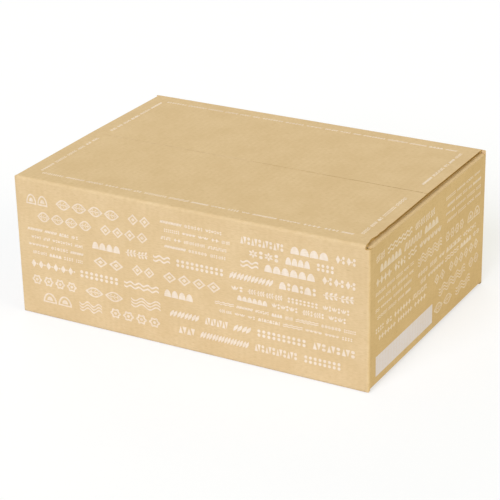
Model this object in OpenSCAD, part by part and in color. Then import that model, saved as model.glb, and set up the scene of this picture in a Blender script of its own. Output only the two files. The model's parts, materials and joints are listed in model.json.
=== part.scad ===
// Closed shipping carton of kraft corrugated board with white printing.
// The origin lies on the floor under the middle of the box: +X runs along the front wall,
// the front wall faces -Y and +Z is up.

/* [Box] */
// Outside length, along the front wall
box_l = 385; // [300:1:460]
// Outside depth, from the front wall to the rear wall
box_d = 268; // [200:1:285]
// Outside height
box_h = 147; // [90:1:220]

/* [Board] */
// Thickness of the corrugated board
board_t = 3; // [2.4:0.1:4]
// Thickness of each facing paper
liner_t = 0.35; // [0.2:0.05:0.5]
// Thickness of the fluted paper between the facings
medium_t = 0.3; // [0.15:0.05:0.4]
// Distance from one flute to the next
flute_pitch = 6; // [5:0.5:9]
// Width of the crushed board beside a fold, where the flutes are closed
crease_w = 4; // [2:0.5:8]
// Bead that the scoring raises inside a fold
bead = 0.3; // [0.1:0.1:0.6]

/* [Flaps] */
// How far the left ends of the outer flaps stand back from the left wall's face
left_setback = 2.5; // [1.5:0.5:6]
// How far the right ends of the outer flaps stand back from the right wall's face
right_setback = 4.5; // [1.5:0.5:6]
// Room between the ends of the inner flaps and the front and rear walls
inner_gap = 1.5; // [0.5:0.25:4]
// Seam between the outer flaps at its tight end
seam_tight = 0.3; // [0.3:0.1:1.5]
// Seam between the outer flaps at its open end
seam_open = 1.4; // [0.3:0.1:3]
// Play between the outer top flaps and the inner ones under them
flap_play = 0.2; // [0.1:0.05:1]
// How much higher than their folds the outer top flaps are at the seam
flap_rise = 0.75; // [0:0.25:3]
// Gap in the fold that an outer top flap turns on
fold_gap = 0.15; // [0.05:0.05:0.5]
// How far the slots between the flaps run past the folds
slot_drop = 0.8; // [0.4:0.1:2]
// Width of the slot between the end of a flap's fold and the corner beside it
slot_w = 0.2; // [0.2:0.1:1]
// Depth of the open groove along the ends that are cut beside a flute
groove_d = 2; // [1:0.25:3]

/* [Glued joints] */
// Width of the tab that joins the rear wall to the left wall
tab_w = 35; // [20:1:50]
// Height that the tab loses at each end of its free edge
tab_taper = 12; // [4:1:20]
// Room between the tab and the inner flaps above and below it
tab_clear = 2; // [1:0.5:6]
// Thickness of the glue between two boards
glue_t = 0.2; // [0.1:0.05:0.5]
// Width of the glue on the tab
tab_glue_w = 20; // [8:1:30]
// Width of a glue line under an inner bottom flap
glue_line_w = 5; // [3:0.5:10]

/* [Print] */
// Thickness of the ink
ink_t = 0.1; // [0.05:0.05:0.2]
// Bare margin round the print on a wall
print_margin = 13; // [6:1:20]
// Height of the bars in a small row
small_h = 3.8; // [2:0.2:5]
// Height of the bars in a middle row
middle_h = 6; // [4:0.5:8]
// Height of the bars in a large row
large_h = 8.5; // [7:0.5:10]
// Height of the outlined bars in the tallest rows
tall_h = 12; // [9:0.5:14]
// Line width of the outlined bars
outline_w = 1.4; // [0.6:0.1:2]
// Length of the white writing field
field_l = 126; // [60:1:130]
// Height of the white writing field
field_h = 20; // [10:1:25]
// Height of the field's lower edge above the floor
field_z = 11; // [8:0.5:20]
// Distance from the box's edges to the printed frame on top
frame_inset = 18; // [12:1:30]
// Height of the bars in the printed frame
frame_h = 4; // [2:0.2:6]
// Bare stretch of the printed frame beside the seam
frame_break = 12; // [6:1:30]

/* [Hidden] */
$fn = 64;
kraft = [0.87, 0.75, 0.56];
ink = [0.98, 0.92, 0.84];
glue = [0.93, 0.88, 0.74];

// inside faces of the walls
in_x = box_l / 2 - board_t;
in_y = box_d / 2 - board_t;
// inner flaps: underside of the lower pair and top of the upper pair
low_z = board_t + glue_t;
inner_top = box_h - board_t - flap_play;
// the walls are whole between the slots
ring_lo = low_z + slot_drop;
ring_hi = inner_top - slot_drop;
// half lengths of the outer and the inner flaps along their folds, and the middle of the outer ones
outer_half = (box_l - left_setback - right_setback) / 2;
outer_mid = (left_setback - right_setback) / 2;
inner_half = in_y - inner_gap;
// the inner flaps are cut as long as the outer ones
inner_edge = box_l / 2 - box_d / 2 + seam_tight / 2;
// outer flap from the inner edge of its fold to the middle of the seam
flap_reach = box_d / 2 - board_t;
// angle at which the outer top flaps rise
flap_tilt = asin(flap_rise / flap_reach);
// inner edge of the fold that the tab turns on
tab_y = in_y - glue_t - board_t;
tab_lo = low_z + board_t + tab_clear;
tab_hi = inner_top - board_t - tab_clear;

// worn places on the right end of the front flap: distance from the fold, half width, depth
end_dents = [[13, 11, 1.6], [28, 7, 0.7], [46, 9, 0.5]];
dents_end = 58;
dent_step = 2;

// share of the half pitch that an open flute takes, and straight steps from its middle to its side
flute_open = 0.85;
flute_steps = 2;

// A section in y and z drawn out along x, and one in x and z drawn out along y
module along_x(len) rotate([90, 0, 90]) linear_extrude(len, center = true) children();
module along_y(len) rotate([90, 0, 0]) linear_extrude(len, center = true) children();

// A fold turns about its inner edge, so its outside is round with the board's thickness
module fold() {
    intersection() {
        circle(r = board_t);
        translate([-bead, -bead]) square(board_t + bead);
    }
}

// Top edge of a wall whose flap moves: round outside, and cut off through the middle of the fold.
// The flap's side of the fold has the same form and is cut lower by the angle at which it rises.
module wall_lip(tilt = 0) {
    far = 2 * board_t;
    intersection() {
        union() {
            circle(r = board_t);
            translate([-board_t, -board_t]) square(board_t);
        }
        translate([0, -fold_gap / sqrt(2)])
            polygon([[0, 0], 2 * far * [cos(135 + tilt), sin(135 + tilt)], [-far, -far], [0, -far]]);
    }
}

// Plan of the four walls. The rear wall's cut end is flush with the left wall's face.
module wall_ring() {
    translate([0, 0, ring_lo]) linear_extrude(ring_hi - ring_lo) {
        translate([-in_x, -box_d / 2]) square([2 * in_x, board_t]);
        translate([in_x, -in_y]) square([board_t, 2 * in_y]);
        translate([-box_l / 2, in_y]) square([box_l / 2 + in_x, board_t]);
        translate([-box_l / 2, -in_y]) square([board_t, in_y + tab_y]);
        translate([-in_x, -in_y]) rotate(180) fold();
        translate([in_x, -in_y]) rotate(-90) fold();
        translate([in_x, in_y]) fold();
        translate([-in_x, tab_y]) rotate(90) fold();
    }
}

// Front wall with its bottom flap, in y and z, from the foot of its outer face
module side_section() {
    translate([0, board_t]) square([board_t, box_h - 3 * board_t]);
    translate([board_t, board_t]) rotate(180) fold();
    translate([board_t, 0]) square([flap_reach - seam_tight / 2, board_t]);
    translate([board_t, box_h - board_t]) wall_lip();
}

// Outline of a wall over its two folds, from its inside face, in its own direction and z
module post_side() {
    translate([-bead, board_t]) square([board_t + bead, box_h - 2 * board_t]);
    translate([0, board_t]) mirror([0, 1]) fold();
    translate([0, box_h - board_t]) fold();
}

// Wall between a corner of the box and the end of a flap's fold, at its full height
module post_wall(setback) {
    rotate([90, 0, 90]) linear_extrude(setback - slot_w) post_side();
}

// The upright fold at the right rear corner reaches the full height beside the flaps' folds
module corner_post(setback) {
    // flat wall between the slot and the fold, where the flap ends before the fold
    flat_l = setback - slot_w - board_t;
    translate([in_x, in_y, 0]) intersection() {
        translate([-flat_l, 0, 0]) post_wall(setback);
        linear_extrude(box_h) {
            fold();
            if (flat_l > 0) translate([-flat_l, 0]) square([flat_l, board_t]);
        }
        mirror([0, 1, 0]) rotate([90, 0, 0]) linear_extrude(board_t) {
            post_side();
            if (flat_l > 0) translate([-flat_l, 0]) square([flat_l, box_h]);
        }
    }
}

// So does the cut end of the rear wall at the left rear corner
module joint_post() {
    translate([-box_l / 2, in_y, 0]) intersection() {
        cube([left_setback, board_t, box_h]);
        post_wall(left_setback);
    }
}

// Right wall with its inner bottom flap and the crushed root of its inner top flap, in x and z
module end_section() {
    translate([in_x, low_z + board_t]) {
        square([board_t, inner_top - low_z - 2 * board_t]);
        rotate(-90) fold();
    }
    translate([inner_edge, low_z]) square([in_x - inner_edge, board_t]);
    translate([in_x, inner_top - board_t]) fold();
    translate([in_x - crease_w, inner_top - board_t]) square([crease_w, board_t]);
}

// Right inner top flap from its free edge to its root, with its flutes along x
module inner_flap() {
    flap_l = in_x - inner_edge - crease_w + bead;
    translate([inner_edge + flap_l / 2, 0, inner_top - board_t]) along_x(flap_l) board_section(inner_half);
}

// Open grooves at the rear wall's cut end and at the ends of the outer bottom flaps
module end_grooves() {
    open_t = board_t - 2 * liner_t;
    translate([-box_l / 2 - groove_d, in_y + liner_t, 0]) cube([2 * groove_d, open_t, box_h]);
    for (side_x = [0, 1], side_y = [0, 1])
        translate([outer_mid, 0, 0]) mirror([side_x, 0, 0]) mirror([0, side_y, 0])
            translate([outer_half - groove_d, seam_tight / 4, liner_t])
                cube([2 * groove_d, in_y - crease_w - seam_tight / 4, open_t]);
}

// Tab on the left wall, glued inside the rear wall
module glue_tab() {
    translate([-in_x, tab_y + board_t / 2, 0]) along_y(board_t)
        polygon([[0, tab_lo], [tab_w, tab_lo + tab_taper], [tab_w, tab_hi - tab_taper], [0, tab_hi]]);
}

// The folded sheet without its two outer top flaps
module carton() {
    color(kraft) difference() {
        union() {
            wall_ring();
            for (side = [0, 1]) {
                mirror([0, side, 0]) translate([outer_mid, -box_d / 2, 0])
                    along_x(2 * outer_half) side_section();
                mirror([side, 0, 0]) along_y(2 * inner_half) end_section();
                mirror([side, 0, 0]) inner_flap();
            }
            glue_tab();
            joint_post();
            corner_post(right_setback);
            mirror([0, 1, 0]) corner_post(right_setback);
            mirror([1, 0, 0]) mirror([0, 1, 0]) corner_post(left_setback);
        }
        end_grooves();
    }
}

// Outline of one open flute between the fluted paper and a facing, about the board's middle plane
module flute_hole() {
    core = board_t / 2 - liner_t;
    swing = core - medium_t / 2;
    polygon([for (i = [-flute_steps:flute_steps])
        let (turn = 180 * flute_open * i / flute_steps,
             slope = swing * 2 * PI / flute_pitch * sin(turn),
             paper = medium_t / 2 * sqrt(1 + slope * slope))
        [turn / 360 * flute_pitch, abs(i) == flute_steps ? core : paper - swing * cos(turn)]]);
}

// Section across the flutes of a flap: facings, fluted paper and the open grooves at its cut ends
module board_section(half) {
    count = floor((half - groove_d) / flute_pitch - 0.5);
    difference() {
        translate([-half, 0]) square([2 * half, board_t]);
        for (i = [-count:count]) translate([i * flute_pitch, board_t / 2]) flute_hole();
        for (i = [-count:count - 1])
            translate([(i + 0.5) * flute_pitch, board_t / 2]) mirror([0, 1]) flute_hole();
        for (side = [0, 1]) mirror([side, 0])
            translate([half - groove_d, liner_t]) square([2 * groove_d, board_t - 2 * liner_t]);
    }
}

// How far a worn end stands back at a distance from the fold
function worn(y, dents) = len(dents) == 0 ? 0 : max([for (dent = dents)
    abs(y - dent[0]) < dent[1] ? dent[2] * (1 + cos(180 * (y - dent[0]) / dent[1])) / 2 : 0]);

// Outer top flap, from the inner edge of its fold. The seam's two ends may differ.
module outer_flap(seam_left, seam_right, dents) {
    fluted_l = flap_reach - crease_w + bead;
    intersection() {
        union() {
            along_x(2 * outer_half) {
                mirror([1, 1]) wall_lip(flap_tilt);
                translate([board_t / 2, 0]) square([crease_w - board_t / 2, board_t]);
            }
            translate([0, flap_reach - fluted_l / 2, 0]) along_y(fluted_l) board_section(outer_half);
        }
        linear_extrude(board_t) polygon(concat(
            [[-outer_half, -board_t], [outer_half, -board_t]],
            [for (y = [0:dent_step:dents_end]) [outer_half - worn(y, dents), y]],
            [[outer_half, flap_reach - seam_right / 2], [-outer_half, flap_reach - seam_left / 2]]));
    }
}

// Places a flap or its print, drawn flat from the inner edge of its fold, on the front or the rear
module on_fold(side) {
    mirror([0, side, 0]) translate([0, -in_y, box_h - board_t]) rotate([flap_tilt, 0, 0]) children();
}

module front_flap() {
    color(kraft) on_fold(0) translate([outer_mid, 0, 0]) outer_flap(seam_tight, seam_open, end_dents);
}

module rear_flap() {
    color(kraft) on_fold(1) translate([outer_mid, 0, 0]) outer_flap(seam_tight, seam_tight, []);
}

// Glue between the tab and the rear wall
module tab_glue() {
    color(glue) translate([-in_x + (tab_w - tab_glue_w) / 2, in_y - glue_t, tab_lo + tab_taper])
        cube([tab_glue_w, glue_t, tab_hi - tab_lo - 2 * tab_taper]);
}

// Glue lines that hold the inner bottom flaps to the outer ones
module bottom_glue() {
    line_l = (in_x - inner_edge) * 0.7;
    color(glue) for (side = [0, 1]) mirror([side, 0, 0])
        for (row = [-1.5:1:1.5])
            translate([inner_edge + line_l * 0.15, row * inner_half * 0.5 - glue_line_w / 2, board_t])
                cube([line_l, glue_line_w, glue_t]);
}

// Sizes of the printed rows: bar height, distance between rows
small = [small_h, 2 * small_h];
middle = [middle_h, 1.7 * middle_h];
large = [large_h, 1.5 * large_h];
tall = [tall_h, 1.4 * tall_h];

// Printed blocks: left, top, width and height as shares of the panel, row size, outlined or not
long_panel = [
    [0.00, 0.00, 0.40, 0.28, tall, true], [0.43, 0.00, 0.21, 0.27, small, false],
    [0.67, 0.00, 0.33, 0.29, large, false], [0.00, 0.30, 0.18, 0.27, small, false],
    [0.21, 0.30, 0.79, 0.12, large, false], [0.21, 0.43, 0.40, 0.14, tall, true],
    [0.64, 0.43, 0.36, 0.15, middle, false], [0.00, 0.58, 0.56, 0.12, large, false],
    [0.59, 0.59, 0.41, 0.13, small, false], [0.00, 0.71, 0.42, 0.29, tall, true],
    [0.45, 0.74, 0.55, 0.26, large, false]
];
short_panel = [
    [0.00, 0.00, 0.60, 0.29, large, false], [0.64, 0.00, 0.36, 0.27, small, false],
    [0.00, 0.30, 0.34, 0.27, small, false], [0.38, 0.30, 0.62, 0.14, tall, true],
    [0.38, 0.45, 0.62, 0.15, middle, false], [0.00, 0.60, 0.50, 0.15, middle, false],
    [0.54, 0.60, 0.46, 0.40, tall, true]
];
foot_block = [[0.00, 0.75, 0.49, 0.25, small, false]];

// Bars that fill a row, each as [start, length]. Their lengths repeat in a mixed order.
function bars(width, h, seed) = [
    for (x = 0, k = 0; x + 2 * h < width; x = x + bar_l(h, seed + k) + 0.7 * h, k = k + 1)
        [x, min(bar_l(h, seed + k), width - x)]
];
function bar_l(h, n) = h * (2.2 + 0.8 * ((5 * n) % 6));

// One bar, solid or outlined
module bar(l, h, outlined) {
    difference() {
        square([l, h]);
        if (outlined) translate([outline_w, outline_w]) square([l - 2 * outline_w, h - 2 * outline_w]);
    }
}

// Rows of bars that fill a block from its top left corner down
module block(width, height, size, outlined, seed) {
    rows = round(height / size[1]);
    for (row = [0:1:rows - 1])
        for (b = bars(width - (row % 2) * size[0], size[0], seed + 2 * row))
            translate([b[0] + (row % 2) * size[0], -(row + 0.5) * height / rows - size[0] / 2])
                bar(b[1], size[0], outlined);
}

// Print on a wall of a given length, about its middle and from the floor up
module wall_print(wall_l, blocks) {
    panel_w = wall_l - 2 * print_margin;
    panel_h = box_h - 2 * print_margin;
    for (i = [0:len(blocks) - 1])
        translate([blocks[i][0] * panel_w - panel_w / 2, box_h - print_margin - blocks[i][1] * panel_h])
            block(blocks[i][2] * panel_w, blocks[i][3] * panel_h, blocks[i][4], blocks[i][5], i);
}

// Lays a drawing on a wall: turn 0 is the front wall, 90 the right one, 180 the rear, 270 the left
module on_wall(turn, face) {
    color(ink) rotate(turn) translate([0, -face, 0]) rotate([90, 0, 0]) linear_extrude(ink_t) children();
}

module front_wall_print() on_wall(0, box_d / 2) wall_print(box_l, long_panel);
module rear_wall_print() on_wall(180, box_d / 2) wall_print(box_l, long_panel);
module left_wall_print() on_wall(270, box_l / 2) wall_print(box_d, concat(short_panel, foot_block));
module right_wall_print() on_wall(90, box_l / 2) wall_print(box_d, short_panel);

// White field to write on, at the foot of the right wall
module writing_field() {
    on_wall(90, box_l / 2) translate([-box_d / 2 + print_margin + outline_w, field_z]) square([field_l, field_h]);
}

// Three sides of the printed frame, on an outer flap from the inner edge of its fold
module flap_print() {
    side_x = box_l / 2 - frame_inset;
    line_y = frame_inset - board_t;
    side_l = flap_reach - line_y - frame_h - frame_break;
    color(ink) translate([0, 0, board_t]) linear_extrude(ink_t) {
        for (b = bars(2 * side_x - 2 * frame_h, frame_h, 1))
            translate([b[0] + frame_h - side_x, line_y - frame_h / 2]) square([b[1], frame_h]);
        for (side = [-1, 1]) for (b = bars(side_l, frame_h, side + 3))
            translate([side * side_x - frame_h / 2, line_y + frame_h + b[0]]) square([frame_h, b[1]]);
    }
}

module front_flap_print() on_fold(0) flap_print();
module rear_flap_print() on_fold(1) flap_print();

carton();
front_flap();
rear_flap();
tab_glue();
bottom_glue();
front_wall_print();
rear_wall_print();
left_wall_print();
right_wall_print();
writing_field();
front_flap_print();
rear_flap_print();
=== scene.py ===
import json
import math
import random

import bmesh
import bpy
from mathutils import Matrix, Vector

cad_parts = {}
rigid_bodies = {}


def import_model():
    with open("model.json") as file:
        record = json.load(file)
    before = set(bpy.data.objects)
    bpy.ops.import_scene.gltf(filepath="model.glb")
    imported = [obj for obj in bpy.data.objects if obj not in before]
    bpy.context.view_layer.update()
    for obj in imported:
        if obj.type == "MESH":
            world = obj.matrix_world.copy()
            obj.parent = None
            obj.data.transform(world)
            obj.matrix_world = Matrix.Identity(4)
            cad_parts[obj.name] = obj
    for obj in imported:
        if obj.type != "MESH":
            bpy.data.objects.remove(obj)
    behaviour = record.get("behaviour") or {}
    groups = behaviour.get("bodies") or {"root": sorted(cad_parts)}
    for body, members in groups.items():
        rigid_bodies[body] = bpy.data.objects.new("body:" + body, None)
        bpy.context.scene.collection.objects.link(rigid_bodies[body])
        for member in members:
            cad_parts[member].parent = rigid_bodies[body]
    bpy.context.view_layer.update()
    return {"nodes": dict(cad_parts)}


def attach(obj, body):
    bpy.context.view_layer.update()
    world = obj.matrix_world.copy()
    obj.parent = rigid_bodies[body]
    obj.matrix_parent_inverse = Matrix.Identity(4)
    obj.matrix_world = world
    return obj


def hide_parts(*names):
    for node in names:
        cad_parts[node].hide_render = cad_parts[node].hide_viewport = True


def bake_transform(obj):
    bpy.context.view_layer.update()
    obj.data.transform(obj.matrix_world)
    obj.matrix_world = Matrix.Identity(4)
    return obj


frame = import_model()
nodes = frame["nodes"]
print("frame loaded:", len(nodes), "nodes")

# the outer top flaps turn about the inner edges of their folds and rise from there to the seam
flaps = {"foldY": 0.131, "foldZ": 0.144, "rise": 0.00075, "left": -0.190, "right": 0.188}
flaps["tilt"] = math.asin(flaps["rise"] / flaps["foldY"])


# node helpers

def put(tree, kind, inputs=(), **settings):
    node = tree.nodes.new(kind)
    for name, value in settings.items():
        setattr(node, name, value)
    for key, value in dict(inputs).items():
        if isinstance(value, bpy.types.NodeSocket):
            tree.links.new(value, node.inputs[key])
        else:
            node.inputs[key].default_value = value
    return node


def calc(tree, operation, *values):
    node = put(tree, "ShaderNodeMath", enumerate(values), operation=operation)
    return node.outputs[0]


def ease(tree, value, low, high, start=0.0, end=1.0):
    node = put(tree, "ShaderNodeMapRange", {0: value, 1: low, 2: high, 3: start, 4: end})
    node.interpolation_type = "SMOOTHSTEP"
    return node.outputs[0]


def blendColours(tree, amount, first, second, mode="MIX"):
    node = put(tree, "ShaderNodeMix", {0: amount, 6: first, 7: second}, data_type="RGBA", blend_type=mode)
    return node.outputs[2]


def combine(tree, x, y, z):
    return put(tree, "ShaderNodeCombineXYZ", {0: x, 1: y, 2: z}).outputs[0]


def noise(tree, vector, scale, detail=2.0, rough=0.5):
    inputs = {"Vector": vector, "Scale": scale, "Detail": detail, "Roughness": rough}
    return put(tree, "ShaderNodeTexNoise", inputs).outputs[0]


def newGroup(name, inputs, outputs):
    tree = bpy.data.node_groups.new(name, "ShaderNodeTree")
    for label, kind, value in inputs:
        socket = tree.interface.new_socket(label, in_out="INPUT", socket_type="NodeSocket" + kind)
        socket.default_value = value
    for label in outputs:
        tree.interface.new_socket(label, in_out="OUTPUT", socket_type="NodeSocketFloat")
    return tree, tree.nodes.new("NodeGroupInput"), tree.nodes.new("NodeGroupOutput")


def useGroup(tree, group, inputs=()):
    return put(tree, "ShaderNodeGroup", inputs, node_tree=group)


# shared effects

grainLook = {
    "fibreScale": 900.0, "cloudScale": 26.0,
    "endFacing": 0.7,      # a face that looks this much to the left or right is an end wall
    "endSlice": 0.37,      # keeps the pattern of the end walls apart from the long ones
    "drawnOut": 0.22,      # fibres are long along the wall
    "fleckScale": 520.0, "fleckFrom": 0.66, "fleckTo": 0.76,
}


def buildBoardGrain():
    # paper fibres lie across the flutes, and each wall hands its directions on to its flap
    tree, given, result = newGroup(
        "board grain",
        [("End Board", "Float", 0.0), ("Fibre Scale", "Float", grainLook["fibreScale"]),
         ("Cloud Scale", "Float", grainLook["cloudScale"])],
        ["Across", "Along", "Fibres", "Flecks", "Cloud", "End"])
    place = put(tree, "ShaderNodeTexCoord")
    point = put(tree, "ShaderNodeSeparateXYZ", {0: place.outputs["Object"]})
    facing = put(tree, "ShaderNodeSeparateXYZ", {0: place.outputs["Normal"]})
    sideways = calc(tree, "ABSOLUTE", facing.outputs[0])
    towardsEnd = calc(tree, "GREATER_THAN", sideways, grainLook["endFacing"])
    endBoard = calc(tree, "MAXIMUM", towardsEnd, given.outputs["End Board"])
    sideBoard = calc(tree, "SUBTRACT", 1.0, endBoard)
    across = calc(tree, "ADD", calc(tree, "MULTIPLY", point.outputs[0], sideBoard),
                  calc(tree, "MULTIPLY", point.outputs[1], endBoard))
    far = calc(tree, "ADD",
               calc(tree, "MULTIPLY", calc(tree, "ABSOLUTE", point.outputs[1]), sideBoard),
               calc(tree, "MULTIPLY", calc(tree, "ABSOLUTE", point.outputs[0]), endBoard))
    along = calc(tree, "SUBTRACT", point.outputs[2], far)
    apart = calc(tree, "MULTIPLY", endBoard, grainLook["endSlice"])
    lengthways = combine(tree, calc(tree, "MULTIPLY", across, grainLook["drawnOut"]), along, apart)
    flat = combine(tree, across, along, apart)
    fibres = noise(tree, lengthways, given.outputs["Fibre Scale"], 3.0, 0.6)
    specks = noise(tree, lengthways, grainLook["fleckScale"], 2.0, 0.55)
    flecks = ease(tree, specks, grainLook["fleckFrom"], grainLook["fleckTo"])
    cloud = noise(tree, flat, given.outputs["Cloud Scale"], 4.0, 0.62)
    for label, value in (("Across", across), ("Along", along), ("Fibres", fibres),
                         ("Flecks", flecks), ("Cloud", cloud), ("End", endBoard)):
        tree.links.new(value, result.inputs[label])
    return tree


fluteLook = {
    "pitch": 0.006, "wander": 0.0006,       # metres from ridge to ridge, and how far a ridge strays
    "wanderScale": 22.0, "patchScale": 14.0,
    "patchFrom": 0.3, "patchTo": 0.7,       # the lines show in some patches more than in others
}


def buildFluteLines():
    # washboard of the flutes under the facing
    tree, given, result = newGroup(
        "flute lines",
        [("Across", "Float", 0.0), ("Along", "Float", 0.0), ("Pitch", "Float", fluteLook["pitch"]),
         ("Wander", "Float", fluteLook["wander"])],
        ["Ridge", "Strength"])
    wandering = noise(tree, combine(tree, given.outputs["Across"], given.outputs["Along"], 0.2),
                      fluteLook["wanderScale"], 2.0)
    shift = calc(tree, "MULTIPLY", calc(tree, "SUBTRACT", wandering, 0.5), given.outputs["Wander"])
    turns = calc(tree, "DIVIDE", calc(tree, "ADD", given.outputs["Across"], shift), given.outputs["Pitch"])
    wave = calc(tree, "COSINE", calc(tree, "MULTIPLY", turns, 2 * math.pi))
    ridge = calc(tree, "MULTIPLY_ADD", wave, 0.5, 0.5)
    patches = noise(tree, combine(tree, given.outputs["Across"], given.outputs["Along"], 0.7),
                    fluteLook["patchScale"], 3.0)
    strength = ease(tree, patches, fluteLook["patchFrom"], fluteLook["patchTo"])
    tree.links.new(ridge, result.inputs["Ridge"])
    tree.links.new(strength, result.inputs["Strength"])
    return tree


wearLook = {
    "halfLength": 0.1925, "halfDepth": 0.134, "halfHeight": 0.0735,
    "width": 0.0035,                        # metres in from the edge
    "patchScale": 75.0, "patchFrom": 0.42, "patchTo": 0.66,
}


def buildFoldWear():
    # rubbed paper where two faces of the box meet
    tree, given, result = newGroup(
        "fold wear",
        [("Half Length", "Float", wearLook["halfLength"]), ("Half Depth", "Float", wearLook["halfDepth"]),
         ("Half Height", "Float", wearLook["halfHeight"]), ("Width", "Float", wearLook["width"])],
        ["Rubbed"])
    place = put(tree, "ShaderNodeTexCoord")
    point = put(tree, "ShaderNodeSeparateXYZ", {0: place.outputs["Object"]})
    upright = calc(tree, "SUBTRACT", point.outputs[2], given.outputs["Half Height"])
    near = []
    for value, label in ((point.outputs[0], "Half Length"), (point.outputs[1], "Half Depth"),
                         (upright, "Half Height")):
        low = calc(tree, "SUBTRACT", given.outputs[label], given.outputs["Width"])
        near.append(ease(tree, calc(tree, "ABSOLUTE", value), low, given.outputs[label]))
    edge = calc(tree, "MAXIMUM", calc(tree, "MULTIPLY", near[0], near[1]),
                calc(tree, "MULTIPLY", near[1], near[2]))
    edge = calc(tree, "MAXIMUM", edge, calc(tree, "MULTIPLY", near[0], near[2]))
    scuffs = noise(tree, place.outputs["Object"], wearLook["patchScale"], 4.0, 0.65)
    patches = ease(tree, scuffs, wearLook["patchFrom"], wearLook["patchTo"])
    tree.links.new(calc(tree, "MULTIPLY", edge, patches), result.inputs["Rubbed"])
    return tree


def buildPlaceMask():
    # 1 inside a box, which is mirrored to all four quarters or stays on its own
    tree, given, result = newGroup(
        "place mask", [("Low", "Vector", (0, 0, 0)), ("High", "Vector", (1, 1, 1)), ("Mirrored", "Float", 1.0),
                       ("Slope", "Float", 0.0)],
        ["Mask"])
    place = put(tree, "ShaderNodeTexCoord")
    at = put(tree, "ShaderNodeSeparateXYZ", {0: place.outputs["Object"]})
    inwards = calc(tree, "SUBTRACT", flaps["foldY"], calc(tree, "ABSOLUTE", at.outputs[1]))
    level = calc(tree, "SUBTRACT", at.outputs[2], calc(tree, "MULTIPLY", inwards, given.outputs["Slope"]))
    flat = combine(tree, at.outputs[0], at.outputs[1], level)
    both = put(tree, "ShaderNodeVectorMath", {0: flat}, operation="ABSOLUTE").outputs[0]
    chosen = put(tree, "ShaderNodeMix", {0: given.outputs["Mirrored"], 4: flat, 5: both},
                 data_type="VECTOR").outputs[1]
    point = put(tree, "ShaderNodeSeparateXYZ", {0: chosen})
    low = put(tree, "ShaderNodeSeparateXYZ", {0: given.outputs["Low"]})
    high = put(tree, "ShaderNodeSeparateXYZ", {0: given.outputs["High"]})
    mask = None
    for index in range(3):
        value = point.outputs[index]
        inside = calc(tree, "MULTIPLY", calc(tree, "GREATER_THAN", value, low.outputs[index]),
                      calc(tree, "LESS_THAN", value, high.outputs[index]))
        mask = inside if mask is None else calc(tree, "MULTIPLY", mask, inside)
    tree.links.new(mask, result.inputs["Mask"])
    return tree


def buildInkCover():
    # thin ink: the sheet's fibres show through and the print is lean between the flutes
    tree, given, result = newGroup(
        "ink cover",
        [("Fibres", "Float", 0.5), ("Cloud", "Float", 0.5), ("Ridge", "Float", 0.5), ("Cover", "Float", 0.6),
         ("Lean", "Float", 0.1)],
        ["Amount"])
    cover = given.outputs["Cover"]
    for label, share in (("Ridge", given.outputs["Lean"]), ("Cloud", 0.35), ("Fibres", 0.5)):
        swing = calc(tree, "SUBTRACT", given.outputs[label], 0.5)
        cover = calc(tree, "ADD", cover, calc(tree, "MULTIPLY", swing, share))
    cover = put(tree, "ShaderNodeClamp", {0: cover}).outputs[0]
    tree.links.new(cover, result.inputs["Amount"])
    return tree


boardGrain = buildBoardGrain()
fluteLines = buildFluteLines()
foldWear = buildFoldWear()
placeMask = buildPlaceMask()
inkCover = buildInkCover()

# materials

kraft = {
    "facing": (0.648, 0.463, 0.241, 1),
    "pale": (0.694, 0.507, 0.277, 1),
    "dark": (0.560, 0.386, 0.184, 1),
    # painted warm light: a yellower tint on the end walls that stands in for the warm fill lamp's light
    "paintedEndWarmth": (1.0, 0.985, 0.90, 1),
    "fleck": (0.430, 0.275, 0.120, 1),
    "rubbed": (0.740, 0.575, 0.340, 1),
    # core: the medium paper's own darker tone, with painted shade of the open flutes on top
    "core": (0.510, 0.330, 0.112, 1),
    "inside": (0.560, 0.395, 0.195, 1),
    "worn": 0.45,               # how much of the rubbed tone shows on the edges
    "rough": (0.90, 0.76),      # between the fibres and on them
    "sheen": 0.28,
    "bump": {"Strength": 0.5, "Distance": 0.00012},
}
ink = {"rough": (0.82, 0.66), "sheen": 0.3, "bump": {"Strength": 0.4, "Distance": 0.00010}}
glue = {
    "dark": (0.72, 0.62, 0.42, 1), "pale": (0.86, 0.80, 0.62, 1),
    "streakScale": 240.0, "rough": (0.32, 0.6),
    "bump": {"Strength": 0.5, "Distance": 0.0002},
}


def startMaterial(name):
    material = bpy.data.materials.new(name)
    material.use_nodes = True
    tree = material.node_tree
    tree.nodes.clear()
    surface = put(tree, "ShaderNodeBsdfPrincipled")
    output = put(tree, "ShaderNodeOutputMaterial")
    tree.links.new(surface.outputs[0], output.inputs[0])
    return material, tree, surface


def finish(tree, surface, tone, grain, height, look):
    tree.links.new(tone, surface.inputs["Base Color"])
    tree.links.new(ease(tree, grain, 0.2, 0.8, *look["rough"]), surface.inputs["Roughness"])
    bump = put(tree, "ShaderNodeBump", {"Height": height, **look["bump"]})
    tree.links.new(bump.outputs[0], surface.inputs["Normal"])


def placed(tree, box, slope=0.0):
    low, high, *alone = box
    return useGroup(tree, placeMask, {"Low": low, "High": high, "Mirrored": 0.0 if alone else 1.0,
                                      "Slope": slope}).outputs[0]


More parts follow.
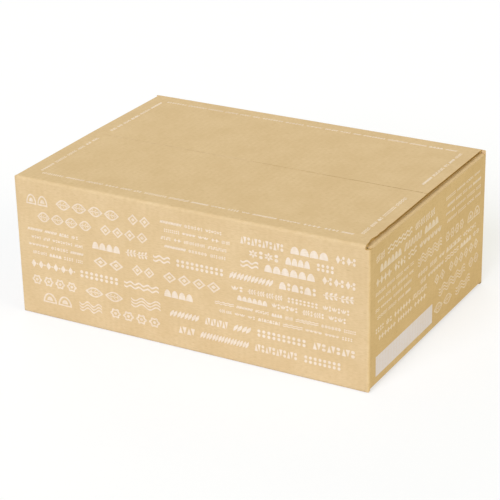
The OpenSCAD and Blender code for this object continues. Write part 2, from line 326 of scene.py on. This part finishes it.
def kraftLayers(tree, endBoxes=()):
    endBoard = 0.0
    for box in endBoxes:
        endBoard = calc(tree, "MAXIMUM", endBoard, placed(tree, box))
    grain = useGroup(tree, boardGrain, {"End Board": endBoard})
    lines = useGroup(tree, fluteLines, {"Across": grain.outputs["Across"], "Along": grain.outputs["Along"]})
    tone = blendColours(tree, ease(tree, grain.outputs["Cloud"], 0.3, 0.7), kraft["facing"], kraft["pale"])
    tone = blendColours(tree, ease(tree, grain.outputs["Fibres"], 0.3, 0.62, 0.42, 0.0), tone, kraft["dark"])
    shade = calc(tree, "MULTIPLY", calc(tree, "SUBTRACT", 1.0, lines.outputs["Ridge"]),
                 calc(tree, "MULTIPLY_ADD", lines.outputs["Strength"], 0.10, 0.03))
    tone = blendColours(tree, shade, tone, kraft["dark"])
    tone = blendColours(tree, calc(tree, "MULTIPLY", grain.outputs["Flecks"], 0.35), tone, kraft["fleck"])
    # painted warm light: the end walls are tinted yellower where the warm fill lamp falls on the box
    tone = blendColours(tree, grain.outputs["End"], tone, kraft["paintedEndWarmth"], "MULTIPLY")
    return grain, lines, tone


def kraftHeight(tree, grain, lines):
    washboard = calc(tree, "MULTIPLY", lines.outputs["Ridge"],
                     calc(tree, "MULTIPLY_ADD", lines.outputs["Strength"], 0.5, 0.3))
    return calc(tree, "ADD", calc(tree, "MULTIPLY", grain.outputs["Fibres"], 0.30), washboard)


def makeKraft(name, coreBoxes, insideBoxes, endBoxes=(), slope=0.0):
    material, tree, surface = startMaterial(name)
    grain, lines, tone = kraftLayers(tree, endBoxes)
    worn = useGroup(tree, foldWear)
    rubbed = calc(tree, "MULTIPLY", worn.outputs["Rubbed"], kraft["worn"])
    tone = blendColours(tree, rubbed, tone, kraft["rubbed"])
    # cut edges take the core colour, partly the medium paper and partly painted shade of the open flutes
    for boxes, colour, amount in ((insideBoxes, kraft["inside"], 0.7), (coreBoxes, kraft["core"], 1.0)):
        for box in boxes:
            uneven = ease(tree, grain.outputs["Fibres"], 0.2, 0.8, amount, amount * 0.72)
            tone = blendColours(tree, calc(tree, "MULTIPLY", placed(tree, box, slope), uneven), tone, colour)
    finish(tree, surface, tone, grain.outputs["Fibres"], kraftHeight(tree, grain, lines), kraft)
    surface.inputs["Specular IOR Level"].default_value = kraft["sheen"]
    return material


def makeInk(name, colour, cover, lean):
    material, tree, surface = startMaterial(name)
    grain, lines, tone = kraftLayers(tree)
    amount = useGroup(tree, inkCover, {
        "Fibres": grain.outputs["Fibres"], "Cloud": grain.outputs["Cloud"], "Ridge": lines.outputs["Ridge"],
        "Cover": cover, "Lean": lean}).outputs[0]
    tone = blendColours(tree, amount, tone, colour)
    finish(tree, surface, tone, grain.outputs["Fibres"], kraftHeight(tree, grain, lines), ink)
    surface.inputs["Specular IOR Level"].default_value = ink["sheen"]
    return material


def makeGlue():
    material, tree, surface = startMaterial("driedGlue")
    place = put(tree, "ShaderNodeTexCoord")
    streaks = noise(tree, place.outputs["Object"], glue["streakScale"], 3.0)
    finish(tree, surface, blendColours(tree, streaks, glue["dark"], glue["pale"]), streaks, streaks, glue)
    return material


# places in metres, mirrored to all four quarters unless alone: cut edges show the paper inside the board, and
# their darker colour is also painted shade of the open flutes and the gaps beside them
flapCoreAndShade = [
    ((0, 0, 0.14434), (1, 0.1303, 0.14666)),                              # between the facings
    ((0, -0.0009, 0.14401), (1, 0.0009, 0.14695), "alone"),               # the open half of the seam
    # the right ends are dark over the whole cut face: painted shade of the gap under the flap ends as well as
    # the open flutes
    ((0.18595, -0.1312, 0.14470), (1, 0.1312, 0.14697), "alone"),         # right ends
    ((-1, -0.1312, 0.14401), (-0.18995, 0.1312, 0.14695), "alone"),       # left ends
]
flapInside = [((0, 0, 0.1), (1, 0.1312, 0.14402))]
cartonCoreAndShade = [
    ((0, 0, 0.14114), (0.1884, 0.1300, 0.14346)),                         # inner top flaps
    ((0, 0, 0.00034), (1, 0.1305, 0.00266)),                              # outer bottom flaps
    ((0, 0, 0.00354), (0.1884, 0.1300, 0.00586)),                         # inner bottom flaps
    ((-1, 0.13134, 0.001), (-0.1900, 0.13366, 0.146), "alone"),           # rear wall at the joint
    ((-0.1890, 0.12814, 0.008), (-0.150, 0.13046, 0.140), "alone"),       # glue tab
    ((0.1860, 0.1275, 0.14292), (0.19251, 0.1341, 0.14303)),              # slots beside the folds
]
cartonInside = [((0, 0, 0.00299), (0.18960, 0.13110, 0.14390))]
innerFlaps = [
    ((0.0586, 0, 0.1407), (0.1885, 0.1296, 0.1439)),
    ((0.0586, 0, 0.0031), (0.1885, 0.1296, 0.0063)),
]
skinInside = [((0, 0, 0.1), (1, 0.13105, 0.14402))]
flapSlope = math.tan(flaps["tilt"])

cartonKraft = makeKraft("cartonKraft", cartonCoreAndShade, cartonInside, innerFlaps)
flapKraft = makeKraft("flapKraft", flapCoreAndShade, flapInside, (), flapSlope)
skinKraft = makeKraft("skinKraft", [], skinInside, (), flapSlope)
whiteInk = makeInk("whiteInk", (0.85, 0.75, 0.645, 1), 0.62, 0.10)
outlineInk = makeInk("outlineInk", (0.85, 0.75, 0.645, 1), 0.52, 0.12)
# the field's white leans blue, painted to offset the warm fill lamp on the right wall
fieldInk = makeInk("fieldInk", (0.76, 0.712, 0.745, 1), 0.90, 0.08)
driedGlue = makeGlue()
print("materials made")


def dress(name, material):
    mesh = nodes[name].data
    mesh.materials.clear()
    mesh.materials.append(material)


for name, material in (("carton", cartonKraft), ("front_flap", flapKraft), ("rear_flap", flapKraft),
                       ("tab_glue", driedGlue), ("bottom_glue", driedGlue), ("writing_field", fieldInk)):
    dress(name, material)


# printed rows: each bar of the frame becomes a run of small plain motifs

motifLook = {
    "thickness": 0.00009,
    "fill": 0.97,       # share of its cell that a motif takes
    "withDots": 0.35,   # how often pairs of dots part the motifs of a row
    "stroke": 0.125,    # line width of the outlined motifs, as a share of the row's height
    "rib": 0.075,
    "seed": 27,
}

# cell width of each motif as a share of the row's height
solidMotifs = {"sprig": 1.5, "seeds": 1.0, "waves": 1.1, "dots": 0.62, "blossom": 1.0, "hills": 0.95,
               "lozenges": 1.0, "leaves": 0.8, "teeth": 0.9}
outlinedMotifs = {"wideLeaf": 1.65, "ripple": 1.5, "arches": 1.25, "kite": 1.2, "bloom": 1.1}
continuousMotifs = ("waves", "ripple")


def lens(cx, cy, length, width, degrees, steps=7):
    turn = math.radians(degrees)
    points = []
    for side in (1, -1):
        for step in range(steps):
            t = step / steps
            along = (t - 0.5) * length * side
            off = math.sin(math.pi * t) * width / 2 * -side
            points.append((cx + along * math.cos(turn) - off * math.sin(turn),
                           cy + along * math.sin(turn) + off * math.cos(turn)))
    return points


def roundel(cx, cy, rx, ry, steps=12, start=0.0):
    turns = [start + 2 * math.pi * i / steps for i in range(steps)]
    return [(cx + rx * math.cos(a), cy + ry * math.sin(a)) for a in turns]


def ribbon(heightAt, width, half=0.5, steps=12):
    xs = [half * (2 * i / steps - 1) for i in range(steps + 1)]
    return [(x, heightAt(x) - width / 2) for x in xs] + [(x, heightAt(x) + width / 2) for x in reversed(xs)]


def dome(rx, ry, low, steps=10):
    turns = [math.pi * i / steps for i in range(steps + 1)]
    return [(rx * math.cos(a), low + ry * math.sin(a)) for a in turns]


def petalled(radius, depth, petals, steps=30):
    reach = [radius + depth * math.cos(petals * 2 * math.pi * i / steps) for i in range(steps)]
    return [(r * math.cos(2 * math.pi * i / steps), r * math.sin(2 * math.pi * i / steps))
            for i, r in enumerate(reach)]


def plate(bm, outer, inner=None):
    low = [bm.verts.new((x, y, 0)) for x, y in outer]
    high = [bm.verts.new((x, y, 1)) for x, y in outer]
    count = len(outer)
    if inner is None:
        bm.faces.new(high)
        bm.faces.new(list(reversed(low)))
    else:
        innerLow = [bm.verts.new((x, y, 0)) for x, y in inner]
        innerHigh = [bm.verts.new((x, y, 1)) for x, y in inner]
    for i in range(count):
        j = (i + 1) % count
        bm.faces.new((low[i], low[j], high[j], high[i]))
        if inner is not None:
            bm.faces.new((innerLow[j], innerLow[i], innerHigh[i], innerHigh[j]))
            bm.faces.new((high[i], high[j], innerHigh[j], innerHigh[i]))
            bm.faces.new((low[j], low[i], innerLow[i], innerLow[j]))


def outlined(outer, stroke):
    # the outline moved inwards along the mean normal of each corner
    count = len(outer)
    inner = []
    for i in range(count):
        here = Vector(outer[i])
        before, after = here - Vector(outer[i - 1]), Vector(outer[(i + 1) % count]) - here
        first, second = (Vector((-e.y, e.x)).normalized() for e in (before, after))
        mean = (first + second).normalized()
        inner.append(tuple(here + mean * stroke / max(0.5, mean.dot(first))))
    return outer, inner


def solidShapes():
    waveLength = solidMotifs["waves"] / motifLook["fill"]

    def wave(x):
        return 0.13 * math.sin(2 * math.pi * x / waveLength)

    def stem(x):
        return 0.05 * math.sin(4 * x)

    leaves = [lens(x + 0.12, 0.26 * s + stem(x), 0.46, 0.25, 55 * s)
              for x in (-0.50, -0.06, 0.38) for s in (1, -1)]
    return {
        "sprig": [ribbon(stem, 0.09, 0.72, 10)] + leaves,
        "seeds": [lens(0.56 * math.sin(a), -0.48 + 0.56 * math.cos(a), 0.78, 0.24, 90 - math.degrees(a))
                  for a in (-0.52, 0, 0.52)],
        "waves": [ribbon(lambda x, c=c: c + wave(x), 0.21, waveLength / 2) for c in (0.27, -0.23)],
        "dots": [roundel(0, y, 0.20, 0.20, 10) for y in (-0.26, 0.26)],
        "blossom": [lens(0.29 * math.cos(a), 0.29 * math.sin(a), 0.44, 0.23, math.degrees(a), 5)
                    for a in (math.pi / 3 * i + 0.52 for i in range(6))],
        "hills": [dome(0.45, 0.90, -0.44)],
        "lozenges": [[(0.34, 0), (0, 0.50), (-0.34, 0), (0, -0.50)], roundel(0.50, 0, 0.11, 0.11, 8)],
        "leaves": [lens(-0.19, 0, 1.02, 0.325, 62), lens(0.19, 0, 1.02, 0.325, 62)],
        "teeth": [[(-0.42, -0.44), (0.02, -0.44), (-0.20, 0.44)], [(0.02, 0.44), (0.24, -0.44), (0.46, 0.44)]],
    }


def outlinedShapes():
    stroke, rib = motifLook["stroke"], motifLook["rib"]
    rippleLength = outlinedMotifs["ripple"] / motifLook["fill"]

    def ripple(x):
        return 0.17 * math.sin(2 * math.pi * x / rippleLength)

    shelf = {
        "wideLeaf": [outlined(lens(0, 0, 1.56, 0.92, 0, 9), stroke), (ribbon(lambda x: 0, rib, 0.52, 6), None)],
        "ripple": [(ribbon(lambda x, c=c: c + ripple(x), stroke, rippleLength / 2), None)
                   for c in (0.28, 0.0, -0.28)],
        "arches": [outlined(dome(0.58, 0.92, -0.46), stroke), (dome(0.24, 0.36, -0.24, 8), None)],
        "kite": [outlined([(0.56, 0), (0, 0.49), (-0.56, 0), (0, -0.49)], stroke),
                 ([(0.20, 0), (0, 0.17), (-0.20, 0), (0, -0.17)], None)],
        "bloom": [outlined(petalled(0.42, 0.06, 6), stroke), (roundel(0, 0, 0.13, 0.13, 10), None)],
    }
    veins = [(lens(x, 0.15 * s, 0.26, rib, 42 * s, 3), None) for x in (-0.26, 0.06, 0.36) for s in (1, -1)]
    shelf["wideLeaf"] += veins
    return shelf


def motifShapes():
    shapes = {name: [(outline, None) for outline in plates] for name, plates in solidShapes().items()}
    shapes.update(outlinedShapes())
    return shapes


def buildMotifs():
    shelf = bpy.data.collections.new("motifs")
    order = []
    for name, plates in sorted(motifShapes().items()):
        bm = bmesh.new()
        for outer, inner in plates:
            plate(bm, outer, inner)
        bmesh.ops.recalc_face_normals(bm, faces=bm.faces)
        mesh = bpy.data.meshes.new(name)
        bm.to_mesh(mesh)
        bm.free()
        shelf.objects.link(bpy.data.objects.new(name, mesh))
        order.append(name)
    return shelf, order


def buildPrintTree():
    tree = bpy.data.node_groups.new("print motifs", "GeometryNodeTree")
    for label, kind in (("Places", "Geometry"), ("Motifs", "Collection"), ("Ink", "Material"),
                        ("Thickness", "Float"), ("Fill", "Float")):
        tree.interface.new_socket(label, in_out="INPUT", socket_type="NodeSocket" + kind)
    tree.interface.new_socket("Print", in_out="OUTPUT", socket_type="NodeSocketGeometry")
    given, result = tree.nodes.new("NodeGroupInput"), tree.nodes.new("NodeGroupOutput")

    def attribute(name, kind):
        return put(tree, "GeometryNodeInputNamedAttribute", {"Name": name}, data_type=kind).outputs[0]

    shelf = put(tree, "GeometryNodeCollectionInfo", {
        "Collection": given.outputs["Motifs"], "Separate Children": True, "Reset Children": True})
    cell = put(tree, "ShaderNodeSeparateXYZ", {0: attribute("cell", "FLOAT_VECTOR")})
    scale = combine(tree, calc(tree, "MULTIPLY", cell.outputs[0], given.outputs["Fill"]),
                    calc(tree, "MULTIPLY", cell.outputs[1], given.outputs["Fill"]), given.outputs["Thickness"])
    turn = put(tree, "FunctionNodeEulerToRotation", {0: attribute("turn", "FLOAT_VECTOR")})
    copies = put(tree, "GeometryNodeInstanceOnPoints", {
        "Points": given.outputs["Places"], "Instance": shelf.outputs[0], "Pick Instance": True,
        "Instance Index": attribute("kind", "INT"), "Rotation": turn.outputs[0], "Scale": scale})
    real = put(tree, "GeometryNodeRealizeInstances", {0: copies.outputs[0]})
    inked = put(tree, "GeometryNodeSetMaterial", {0: real.outputs[0], "Material": given.outputs["Ink"]})
    tree.links.new(inked.outputs[0], result.inputs[0])
    return tree


def flapTurn(lean):
    # turns what lies flat on a flap up to the flap's own slope, lean is -1 on the front and 1 on the rear
    fold = Matrix.Translation((0, lean * flaps["foldY"], flaps["foldZ"]))
    return fold @ Matrix.Rotation(-lean * flaps["tilt"], 4, "X") @ fold.inverted()


def islandsOf(nodeName, lean):
    # the bars of a printed node, each as its lowest and highest corner and whether it is outlined
    bm = bmesh.new()
    bm.from_mesh(nodes[nodeName].data)
    bm.transform(flapTurn(lean).inverted())
    bmesh.ops.remove_doubles(bm, verts=bm.verts, dist=1e-6)
    seen, found = set(), []
    for first in bm.verts:
        if first in seen:
            continue
        seen.add(first)
        heap, members = [first], []
        while heap:
            vert = heap.pop()
            members.append(vert.co.copy())
            for edge in vert.link_edges:
                other = edge.other_vert(vert)
                if other not in seen:
                    seen.add(other)
                    heap.append(other)
        low = Vector([min(m[i] for m in members) for i in range(3)])
        high = Vector([max(m[i] for m in members) for i in range(3)])
        found.append((low, high, len(members) > 8))
    bm.free()
    return sorted(found, key=lambda bar: [round(v, 4) for v in (-bar[0].z, bar[0].y, bar[0].x)])


printFaces = {
    "front_wall_print": {"turn": (90, 0, 0), "row": 0, "up": 2, "out": 1, "base": "high", "body": "box"},
    "right_wall_print": {"turn": (90, 0, 90), "row": 1, "up": 2, "out": 0, "base": "low", "body": "box"},
    "rear_wall_print": {"turn": (90, 0, 180), "row": 0, "up": 2, "out": 1, "base": "low", "body": "box"},
    "left_wall_print": {"turn": (90, 0, 270), "row": 1, "up": 2, "out": 0, "base": "high", "body": "box"},
    "front_flap_print": {"turn": (0, 0, 0), "row": 0, "up": 1, "out": 2, "base": "low", "body": "front_lid",
                         "lean": -1},
    "rear_flap_print": {"turn": (0, 0, 0), "row": 0, "up": 1, "out": 2, "base": "low", "body": "rear_lid",
                        "lean": 1},
}


def motifPlaces(nodeName, face, order, draw):
    places = {True: [], False: []}
    for low, high, hollow in islandsOf(nodeName, face.get("lean", 0)):
        size, middle = high - low, (low + high) / 2
        row, up, turn = face["row"], face["up"], list(face["turn"])
        if size[up] > size[row]:
            row, up = up, row
            turn[2] += 90
        middle[face["out"]] = (high if face["base"] == "high" else low)[face["out"]]
        widths = outlinedMotifs if hollow else solidMotifs
        first = second = draw.choice(list(widths))
        if not hollow and first not in continuousMotifs and draw.random() < motifLook["withDots"]:
            second = "dots"
        pair = widths[first] + widths[second]
        pairs = max(1, round(size[row] / (size[up] * pair)))
        stretch = size[row] / (pairs * size[up] * pair)
        start = -size[row] / 2
        for i in range(2 * pairs):
            name = first if i % 2 == 0 else second
            width = widths[name] * size[up] * stretch
            place = middle.copy()
            place[row] += start + width / 2
            start += width
            places[hollow].append((place, order.index(name), (size[up] * stretch, size[up], 0),
                                   [math.radians(a) for a in turn]))
    return places


def printPiece(name, places, tree, shelf, ink):
    mesh = bpy.data.meshes.new(name + "Places")
    mesh.from_pydata([p[0] for p in places], [], [])
    kinds = mesh.attributes.new("kind", "INT", "POINT")
    kinds.data.foreach_set("value", [p[1] for p in places])
    for label, index in (("cell", 2), ("turn", 3)):
        values = mesh.attributes.new(label, "FLOAT_VECTOR", "POINT")
        values.data.foreach_set("vector", [v for p in places for v in p[index]])
    holder = bpy.data.objects.new(name + "Places", mesh)
    bpy.context.scene.collection.objects.link(holder)
    modifier = holder.modifiers.new("print", "NODES")
    modifier.node_group = tree
    named = {item.name: item.identifier for item in tree.interface.items_tree if item.in_out == "INPUT"}
    modifier[named["Motifs"]] = shelf
    modifier[named["Ink"]] = ink
    modifier[named["Thickness"]] = motifLook["thickness"]
    modifier[named["Fill"]] = motifLook["fill"]
    graph = bpy.context.evaluated_depsgraph_get()
    printed = bpy.data.meshes.new_from_object(holder.evaluated_get(graph))
    printed.name = name
    bpy.data.objects.remove(holder)
    bpy.data.meshes.remove(mesh)
    piece = bpy.data.objects.new(name, printed)
    bpy.context.scene.collection.objects.link(piece)
    return piece


def makePrints():
    shelf, order = buildMotifs()
    tree = buildPrintTree()
    draw = random.Random(motifLook["seed"])
    for nodeName, face in printFaces.items():
        places = motifPlaces(nodeName, face, order, draw)
        base = nodeName.replace("_print", "")
        solid = printPiece(base + "_motifs", places[False], tree, shelf, whiteInk)
        made = [solid]
        if places[True]:
            made.append(printPiece(base + "_outlined_motifs", places[True], tree, shelf, outlineInk))
        for piece in made:
            piece.data.transform(flapTurn(face.get("lean", 0)))
            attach(piece, face["body"])
            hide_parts(nodeName)
        print(nodeName, "->", sum(len(p.data.polygons) for p in made), "faces")
    for item in list(shelf.objects):
        bpy.data.objects.remove(item)
    bpy.data.collections.remove(shelf)


makePrints()


# facing papers bent round the folds of the outer flaps as they stand closed

foldSkin = {
    "ends": (flaps["left"] + 0.0002, flaps["right"] - 0.0002),
    "outerFace": 0.134, "top": 0.147, "radius": 0.003,
    "reach": 0.004, "innerReach": 0.0012,   # along the wall and the flap, outside and inside
    "flat": 0.001,                          # stays flat beside the bend
    "proud": 0.00006, "sunk": 0.00003,      # how far the paper stands out of the board and lies in it
    "sharp": 40,
}


def outerProfile():
    # up the wall, round the fold and on to the flap, as distance from the middle plane and height
    y, z, r = foldSkin["outerFace"], foldSkin["top"], foldSkin["radius"]
    points = [((y, z - r - reach), (1, 0)) for reach in (foldSkin["reach"], foldSkin["flat"])]
    for step in range(33):
        a = (math.pi / 2 - flaps["tilt"]) * step / 32
        way = (math.cos(a), math.sin(a))
        points.append(((y - r + r * way[0], z - r + r * way[1]), way))
    last = points[-1][0]
    for reach in (foldSkin["flat"], foldSkin["reach"]):
        points.append(((last[0] - reach * way[1], last[1] + reach * way[0]), way))
    return points


def innerProfile():
    # up the inside of the wall to the corner and out under the flap
    y, z = foldSkin["outerFace"] - foldSkin["radius"], foldSkin["top"] - foldSkin["radius"]
    reach = foldSkin["innerReach"]
    points = []
    for step in range(17):
        points.append(((y, z - reach * (1 - step / 16)), (-1, 0)))
    along = (math.cos(flaps["tilt"]), math.sin(flaps["tilt"]))
    for step in range(1, 17):
        far = reach * step / 16
        points.append(((y - far * along[0], z + far * along[1]), (-along[1], -along[0])))
    return points


def makeSkin(name, profile, side):
    bm = bmesh.new()
    rows = []
    for x in foldSkin["ends"]:
        outside = [bm.verts.new((x, side * (p[0] + n[0] * foldSkin["proud"]), p[1] + n[1] * foldSkin["proud"]))
                   for p, n in profile]
        inside = [bm.verts.new((x, side * (p[0] - n[0] * foldSkin["sunk"]), p[1] - n[1] * foldSkin["sunk"]))
                  for p, n in profile]
        rows.append(outside + inside[::-1])
    count = len(rows[0])
    last = len(profile) - 1
    for i in range(count):
        j = (i + 1) % count
        bm.faces.new((rows[0][i], rows[0][j], rows[1][j], rows[1][i]))
    for row in rows:
        for i in range(last):
            bm.faces.new((row[i], row[i + 1], row[count - 2 - i], row[count - 1 - i]))
    bmesh.ops.recalc_face_normals(bm, faces=bm.faces)
    mesh = bpy.data.meshes.new(name)
    bm.to_mesh(mesh)
    bm.free()
    mesh.shade_smooth()
    mesh.set_sharp_from_angle(angle=math.radians(foldSkin["sharp"]))
    mesh.materials.append(skinKraft)
    piece = bpy.data.objects.new(name, mesh)
    bpy.context.scene.collection.objects.link(piece)
    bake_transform(piece)
    return piece


for side, lid, word in ((-1, "front_lid", "front"), (1, "rear_lid", "rear")):
    makeSkin(word + "_fold_facing", outerProfile(), side)
    makeSkin(word + "_fold_lining", innerProfile(), side)
print("fold papers made")


# stage, camera and lights

studio = {
    "world": 0.44,                   # light of the sky on the box
    "sky": (1.0, 1.0, 0.82, 1),
    "floor": (0.76, 0.76, 0.76, 1),  # what the floor throws back on the box
    "floorHalf": 4.0,
    "floorLift": 0.60,               # how far its shadow is lifted towards white in the picture
    "white": (1, 1, 1, 1),
    "lampDistance": 2.0,
}
# way is towards the lamp, level what it adds to a surface that faces it
lamps = {
    "key": {"way": (0.0, -0.84, 0.54), "level": 0.88, "colour": (0.76, 0.81, 1.0), "angle": 36},
    "fill": {"way": (0.88, 0.0, 0.47), "level": 0.30, "colour": (1.0, 0.90, 0.62), "angle": 40},
    "back": {"way": (-0.66, 0.70, 0.26), "level": 0.26, "colour": (1.0, 1.0, 1.0), "angle": 40},
}
shot = {
    "target": (0.02019, -0.0443, 0.07386),
    "azimuth": 29.699, "elevation": 23.869, "roll": -1.226,
    "distance": 1.7648,
    "lens": 130.07, "sensor": 36.0,
    "clip": (0.05, 50),
}


def seenRay(tree):
    # 1 where the camera looks, straight or by way of a gloss or glass
    path = put(tree, "ShaderNodeLightPath")
    byGloss = calc(tree, "MAXIMUM", path.outputs["Is Glossy Ray"], path.outputs["Is Transmission Ray"])
    return calc(tree, "MAXIMUM", path.outputs["Is Camera Ray"], byGloss)


def makeFloor():
    mesh = bpy.data.meshes.new("floor")
    half = studio["floorHalf"]
    corners = [(-half, -half, 0), (half, -half, 0), (half, half, 0), (-half, half, 0)]
    mesh.from_pydata(corners, [], [(0, 1, 2, 3)])
    floor = bpy.data.objects.new("floor", mesh)
    bpy.context.scene.collection.objects.link(floor)
    material = bpy.data.materials.new("paleFloor")
    material.use_nodes = True
    tree = material.node_tree
    tree.nodes.clear()
    seen = seenRay(tree)
    colour = blendColours(tree, seen, studio["floor"], studio["white"])
    lit = put(tree, "ShaderNodeBsdfDiffuse", {"Color": colour})
    white = put(tree, "ShaderNodeEmission", {"Color": studio["white"], "Strength": 1.0})
    lifted = put(tree, "ShaderNodeMixShader", {0: calc(tree, "MULTIPLY", seen, studio["floorLift"]),
                                               1: lit.outputs[0], 2: white.outputs[0]})
    output = put(tree, "ShaderNodeOutputMaterial")
    tree.links.new(lifted.outputs[0], output.inputs[0])
    mesh.materials.append(material)


def makeWorld():
    world = bpy.data.worlds.new("studio")
    world.use_nodes = True
    tree = world.node_tree
    tree.nodes.clear()
    seen = seenRay(tree)
    strength = ease(tree, seen, 0.0, 1.0, studio["world"], 1.0)
    colour = blendColours(tree, seen, studio["sky"], studio["white"])
    sky = put(tree, "ShaderNodeBackground", {"Color": colour, "Strength": strength})
    output = put(tree, "ShaderNodeOutputWorld")
    tree.links.new(sky.outputs[0], output.inputs[0])
    bpy.context.scene.world = world


def makeLamp(name, given):
    lamp = bpy.data.lights.new(name, "SUN")
    lamp.energy = given["level"] * math.pi
    lamp.color = given["colour"]
    lamp.angle = math.radians(given["angle"])
    piece = bpy.data.objects.new(name, lamp)
    way = Vector(given["way"]).normalized()
    piece.location = way * studio["lampDistance"]
    piece.rotation_mode = "QUATERNION"
    piece.rotation_quaternion = way.to_track_quat("Z", "Y")
    bpy.context.scene.collection.objects.link(piece)


def makeCamera():
    a, e, r = (math.radians(shot[k]) for k in ("azimuth", "elevation", "roll"))
    back = Vector((math.sin(a) * math.cos(e), -math.cos(a) * math.cos(e), math.sin(e)))
    right = Vector((0, 0, 1)).cross(back).normalized()
    up = back.cross(right)
    rolledRight = math.cos(r) * right + math.sin(r) * up
    rolledUp = -math.sin(r) * right + math.cos(r) * up
    data = bpy.data.cameras.new("camera")
    data.lens = shot["lens"]
    data.sensor_width = shot["sensor"]
    data.clip_start, data.clip_end = shot["clip"]
    camera = bpy.data.objects.new("camera", data)
    place = Matrix((rolledRight, rolledUp, back)).transposed().to_4x4()
    place.translation = Vector(shot["target"]) + back * shot["distance"]
    camera.matrix_world = place
    bpy.context.scene.collection.objects.link(camera)
    bpy.context.scene.camera = camera


makeFloor()
makeWorld()
for name, given in lamps.items():
    makeLamp(name, given)
makeCamera()
bpy.context.scene.view_settings.view_transform = "Standard"
print("stage ready")
